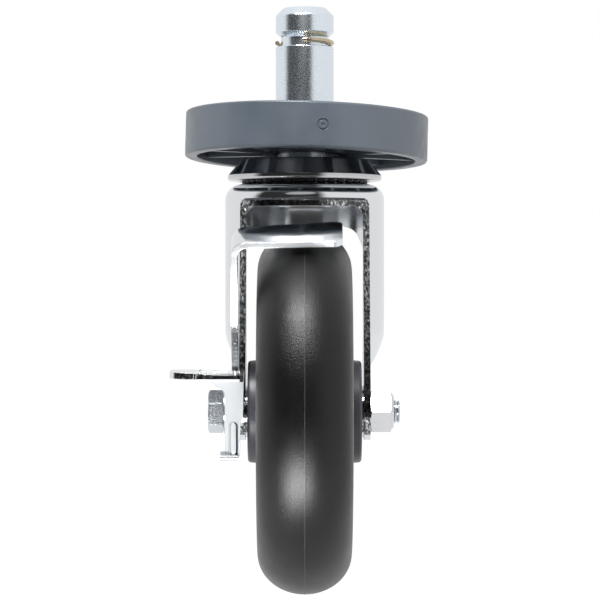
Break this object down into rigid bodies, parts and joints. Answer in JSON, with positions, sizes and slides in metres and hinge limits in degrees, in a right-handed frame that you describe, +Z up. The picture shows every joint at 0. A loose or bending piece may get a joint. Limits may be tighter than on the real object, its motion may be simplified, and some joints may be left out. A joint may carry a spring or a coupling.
{
  "type": "swivel stem caster",
  "caption": "Swivel caster with a round post stem, snap ring, loose bumper ring, ball-bearing fork, crowned rubber wheel and a pedal side brake.",
  "frame": {"origin": "on the stem's axis at the seat, the lower end of the stem's full-diameter length, where the end of the post stops just above the bumper", "axes": "+Z up along the stem, +X along the wheel's axle towards the lock nut, and the wheel trails towards -Y"},
  "size_m": [0.0901, 0.1423, 0.2072],
  "materials": {
    "stem_steel": "bright zinc-plated turned steel",
    "fork_steel": "bright zinc-plated pressed steel",
    "brake_steel": "bright zinc-plated pressed steel",
    "race_steel": "polished pressed steel",
    "ring_steel": "yellow passivated spring wire",
    "bolt_steel": "zinc-plated bolt",
    "nut_steel": "zinc-plated nut",
    "ball_steel": "polished balls",
    "bearing_steel": "ground bearing steel",
    "cage_plastic": "black moulded plastic",
    "seal_felt": "black felt",
    "nylon": "natural nylon",
    "bumper_plastic": "slate grey moulded plastic",
    "tread_rubber": "dark grey thermoplastic rubber",
    "core_plastic": "dark grey polypropylene",
    "hub_cap_plastic": "purplish grey moulded plastic"
  },
  "bodies": {
    "stem_assembly": {"stem": "stem_steel", "kingpin": "fork_steel", "upper_race": "race_steel", "lower_race": "race_steel"},
    "grip_ring": {"grip_ring": "ring_steel"},
    "bumper": {"bumper": "bumper_plastic"},
    "upper_ball_row": {"upper_balls": "ball_steel", "upper_ball_cage": "cage_plastic"},
    "lower_ball_row": {"lower_balls": "ball_steel", "lower_ball_cage": "cage_plastic"},
    "swivel_fork": {"fork": "fork_steel", "dust_seal": "seal_felt", "axle_bolt": "bolt_steel", "lock_nut": "nut_steel", "lock_nut_insert": "nylon", "lever_washer": "bolt_steel", "axle_sleeve": "fork_steel", "spacer_left": "fork_steel", "spacer_right": "fork_steel", "bearing_inner_rings": "bearing_steel"},
    "wheel": {"tread": "tread_rubber", "wheel_core": "core_plastic", "hub_cap_left": "hub_cap_plastic", "hub_cap_right": "hub_cap_plastic", "bearing_outer_rings": "bearing_steel", "bearing_balls": "ball_steel", "bearing_shields": "cage_plastic"},
    "brake_lever": {"brake_lever": "brake_steel", "brake_cam": "brake_steel"},
    "brake_strap": {"brake_strap": "brake_steel"}
  },
  "joints": [
    {"name": "swivel", "type": "hinge", "parent": "stem_assembly", "child": "swivel_fork", "pos_m": [0, 0, -0.0262], "axis": [0, 0, 1], "continuous": true},
    {"name": "wheel_spin", "type": "hinge", "parent": "swivel_fork", "child": "wheel", "pos_m": [0, -0.035, -0.1065], "axis": [1, 0, 0], "continuous": true},
    {"name": "brake_lever_swing", "type": "hinge", "parent": "swivel_fork", "child": "brake_lever", "pos_m": [-0.0262, -0.035, -0.1065], "axis": [1, 0, 0], "range_deg": [0, 35]},
    {"name": "brake_strap_slide", "type": "slide", "parent": "swivel_fork", "child": "brake_strap", "axis": [0, 0.4226, -0.9063], "range_m": [0, 0.0017]},
    {"name": "bumper_spin", "type": "hinge", "parent": "stem_assembly", "child": "bumper", "pos_m": [0.0007, 0, -0.0092], "axis": [0.0262, 0.0541, 0.9982], "continuous": true},
    {"name": "grip_ring_turn", "type": "hinge", "parent": "stem_assembly", "child": "grip_ring", "pos_m": [0, 0, 0.02465], "axis": [0, 0, 1], "continuous": true},
    {"name": "upper_balls_orbit", "type": "hinge", "parent": "stem_assembly", "child": "upper_ball_row", "pos_m": [0, 0, -0.0246], "axis": [0, 0, 1], "continuous": true},
    {"name": "lower_balls_orbit", "type": "hinge", "parent": "stem_assembly", "child": "lower_ball_row", "pos_m": [0, 0, -0.02975], "axis": [0, 0, 1], "continuous": true}
  ],
  "couplings": [
    {"joint": "brake_strap_slide", "follows": "brake_lever_swing", "m_per_rad": 0.002783},
    {"joint": "upper_balls_orbit", "follows": "swivel", "ratio": 0.5},
    {"joint": "lower_balls_orbit", "follows": "swivel", "ratio": 0.5}
  ]
}
